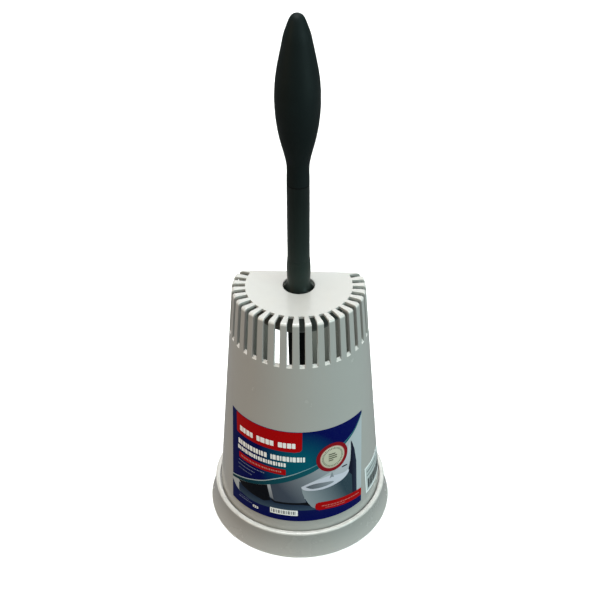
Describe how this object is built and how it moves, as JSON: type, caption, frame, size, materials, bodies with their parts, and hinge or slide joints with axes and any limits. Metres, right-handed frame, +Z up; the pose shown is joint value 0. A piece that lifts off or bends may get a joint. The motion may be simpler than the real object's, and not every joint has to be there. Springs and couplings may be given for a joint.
{
  "type": "toilet plunger",
  "caption": "Toilet plunger with a rubber cup and soft torpedo grip, standing in a drip tray under a vented cone-shaped cover that lifts with it.",
  "frame": {"origin": "centre of the drip tray's footprint, on the surface it stands on, which is also the handle's axis", "axes": "+Z up along the handle, -Y towards the front of the cover, where the label is, +X to the right seen from the front"},
  "size_m": [0.1936, 0.1936, 0.543],
  "materials": {
    "cover_plastic": "light grey moulded plastic, satin gloss",
    "tray_plastic": "light grey moulded plastic, satin gloss",
    "shaft_plastic": "charcoal, satin",
    "black_plastic": "black, matt",
    "core_plastic": "dark grey, matt",
    "grip_rubber": "charcoal soft-touch elastomer, fine matt grain",
    "cup_rubber": "black rubber, slightly bloomed",
    "foot_rubber": "dark grey rubber",
    "zinc_steel": "zinc plated",
    "front_label_paper": "varnished printed paper with plain shapes",
    "side_label_paper": "varnished printed paper"
  },
  "bodies": {
    "tray": {"drip_tray": "tray_plastic", "tray_feet": "foot_rubber"},
    "cup": {"rubber_cup": "cup_rubber"},
    "handle": {"cup_ferrule": "black_plastic", "lower_rod": "black_plastic", "rod_plug": "core_plastic", "cup_washer": "zinc_steel", "retaining_screw": "zinc_steel", "shaft_tube": "shaft_plastic", "lift_collar": "shaft_plastic", "collar_pin": "zinc_steel", "seam_ring": "black_plastic", "grip_core": "core_plastic", "grip_sleeve": "grip_rubber"},
    "cover": {"cover": "cover_plastic", "front_label": "front_label_paper", "side_label": "side_label_paper"}
  },
  "joints": [
    {"name": "plunger_lift", "type": "slide", "parent": "tray", "child": "cup", "axis": [0, 0, 1], "range_m": [0, 0.3]},
    {"name": "handle_press", "type": "slide", "parent": "cup", "child": "handle", "axis": [0, 0, 1], "range_m": [-0.03, 0], "stiffness_N_per_m": 1500, "springref_m": 0.004, "deforming": ["rubber_cup"]},
    {"name": "cover_slide", "type": "slide", "parent": "cup", "child": "cover", "axis": [0, 0, 1], "range_m": [0, 0.1]}
  ]
}
